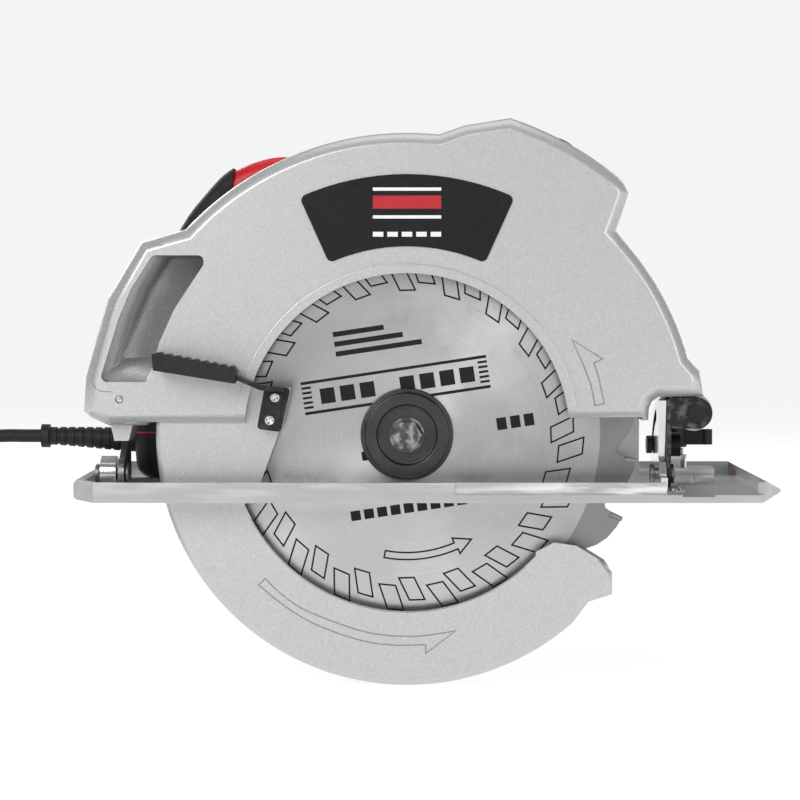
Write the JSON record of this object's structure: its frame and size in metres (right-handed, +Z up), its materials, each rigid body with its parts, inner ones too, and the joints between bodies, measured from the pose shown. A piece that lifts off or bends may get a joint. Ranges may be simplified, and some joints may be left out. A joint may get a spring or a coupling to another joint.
{
  "type": "circular saw",
  "caption": "Corded circular saw with fixed and swinging blade guards, a bevel and depth setting base, a rear D-handle and a side motor.",
  "frame": {"origin": "centre of the flat sole of the base plate", "axes": "+X towards the front of the saw, +Y towards the motor, +Z up, square to the sole"},
  "size_m": [0.5335, 0.2605, 0.2851],
  "materials": {
    "base_metal": "satin pressed alloy",
    "bright_steel": "bright",
    "dark_steel": "dark",
    "black_steel": "satin black",
    "zinc": "zinc plated",
    "guard_paint": "satin silver paint with fine flake",
    "label_black": "printed label",
    "cast_alloy": "cast",
    "red_plastic": "moulded",
    "black_plastic": "moulded",
    "soft_black": "soft overmould",
    "bearing_steel": "ground",
    "copper_wound": "laminations and enamelled wire",
    "brass_part": "drawn",
    "carbon": "carbon block",
    "fan_plastic": "moulded",
    "blade_steel": "brushed disc",
    "carbide": "ground carbide",
    "flange_steel": "blackened",
    "cord_rubber": "rubber",
    "plug_metal": "nickel plated"
  },
  "bodies": {
    "base": {"base_plate": "base_metal", "bevel_quadrant": "bright_steel", "bracket_rivets": "dark_steel", "rear_bevel_ear": "bright_steel", "bevel_pivot_pins": "dark_steel", "fence_clamp_bridge": "base_metal", "fence_clamp_spring": "zinc"},
    "fence_knob": {"fence_clamp_knob": "black_plastic"},
    "tilt_frame": {"front_tilt_bracket": "black_steel", "rear_tilt_bracket": "dark_steel", "depth_arc": "bright_steel", "depth_pivot_pin": "dark_steel"},
    "bevel_lever": {"bevel_lock_lever": "black_steel"},
    "saw_body": {"upper_guard": "guard_paint", "label_plate": "label_black", "gear_case": "cast_alloy", "gear_case_cover": "cast_alloy", "gear_case_screws": "zinc", "motor_housing": "red_plastic", "motor_end_cap": "black_plastic", "end_cap_screws": "zinc", "stator": "copper_wound", "brush_holders": "brass_part", "carbon_brushes": "carbon", "brush_caps": "black_plastic", "spindle_bearings": "bearing_steel", "armature_bearings": "bearing_steel", "handle_left_shell": "red_plastic", "handle_right_shell": "red_plastic", "handle_grip": "soft_black", "handle_screws": "zinc", "switch_module": "black_plastic", "front_handle": "black_plastic", "depth_lock_bolt": "dark_steel", "guard_spring": "zinc", "guard_retaining_ring": "zinc", "cord_guard": "cord_rubber", "cord_run": "cord_rubber", "cord_coil": "cord_rubber", "cord_tie": "cord_rubber", "plug_body": "cord_rubber", "plug_pins": "plug_metal"},
    "switch_trigger": {"trigger": "black_plastic"},
    "lock_off": {"lock_off_button": "black_plastic"},
    "depth_lever": {"depth_lock_lever": "black_plastic"},
    "spindle_lock": {"spindle_lock_button": "black_plastic"},
    "blade_unit": {"saw_blade": "blade_steel", "carbide_teeth": "carbide", "inner_flange": "flange_steel", "outer_flange": "flange_steel", "blade_bolt": "zinc", "spindle": "bearing_steel", "spindle_gear": "bearing_steel"},
    "motor_rotor": {"armature": "copper_wound", "cooling_fan": "fan_plastic", "pinion": "bearing_steel"},
    "lower_guard_unit": {"lower_guard": "guard_paint", "guard_lever_bracket": "black_steel", "bracket_screws": "zinc", "guard_lever_grip": "black_plastic"}
  },
  "joints": [
    {"name": "bevel_tilt", "type": "hinge", "parent": "base", "child": "tilt_frame", "pos_m": [0, -0.0425, 0.012], "axis": [1, 0, 0], "range_deg": [0, 45]},
    {"name": "depth_swing", "type": "hinge", "parent": "tilt_frame", "child": "saw_body", "pos_m": [0.136, -0.033, 0.043], "axis": [0, 1, 0], "range_deg": [0, 35]},
    {"name": "blade_spin", "type": "hinge", "parent": "saw_body", "child": "blade_unit", "pos_m": [-0.01, -0.0425, 0.032], "axis": [0, 1, 0], "continuous": true},
    {"name": "motor_spin", "type": "hinge", "parent": "saw_body", "child": "motor_rotor", "pos_m": [-0.01, 0.0575, 0.06017], "axis": [0, 1, 0], "continuous": true},
    {"name": "guard_swing", "type": "hinge", "parent": "saw_body", "child": "lower_guard_unit", "pos_m": [-0.01, -0.0315, 0.032], "axis": [0, 1, 0], "range_deg": [0, 110], "stiffness_Nm_per_rad": 0.2, "springref_deg": -45.84},
    {"name": "trigger_pull", "type": "hinge", "parent": "saw_body", "child": "switch_trigger", "pos_m": [-0.076, 0.0125, 0.142], "axis": [0, 1, 0], "range_deg": [0, 7], "stiffness_Nm_per_rad": 2, "springref_deg": -5.73},
    {"name": "lock_off_press", "type": "slide", "parent": "saw_body", "child": "lock_off", "axis": [0, 1, 0], "range_m": [0, 0.003], "stiffness_N_per_m": 800, "springref_m": -0.001},
    {"name": "spindle_lock_press", "type": "slide", "parent": "saw_body", "child": "spindle_lock", "axis": [-1, 0, 0], "range_m": [0, 0.004], "stiffness_N_per_m": 800, "springref_m": -0.001},
    {"name": "depth_lock_turn", "type": "hinge", "parent": "saw_body", "child": "depth_lever", "pos_m": [-0.075, -0.0115, 0.043], "axis": [0, 1, 0], "range_deg": [0, 60]},
    {"name": "bevel_lock_turn", "type": "hinge", "parent": "tilt_frame", "child": "bevel_lever", "pos_m": [0.126, -0.0144, 0.0251], "axis": [1, 0, 0], "range_deg": [0, 45]},
    {"name": "fence_clamp_turn", "type": "hinge", "parent": "base", "child": "fence_knob", "pos_m": [0.1323, 0.012, 0.028], "axis": [0, 0, 1], "range_deg": [0, 180]}
  ],
  "couplings": [
    {"joint": "motor_spin", "follows": "blade_spin", "ratio": -4.4444}
  ]
}
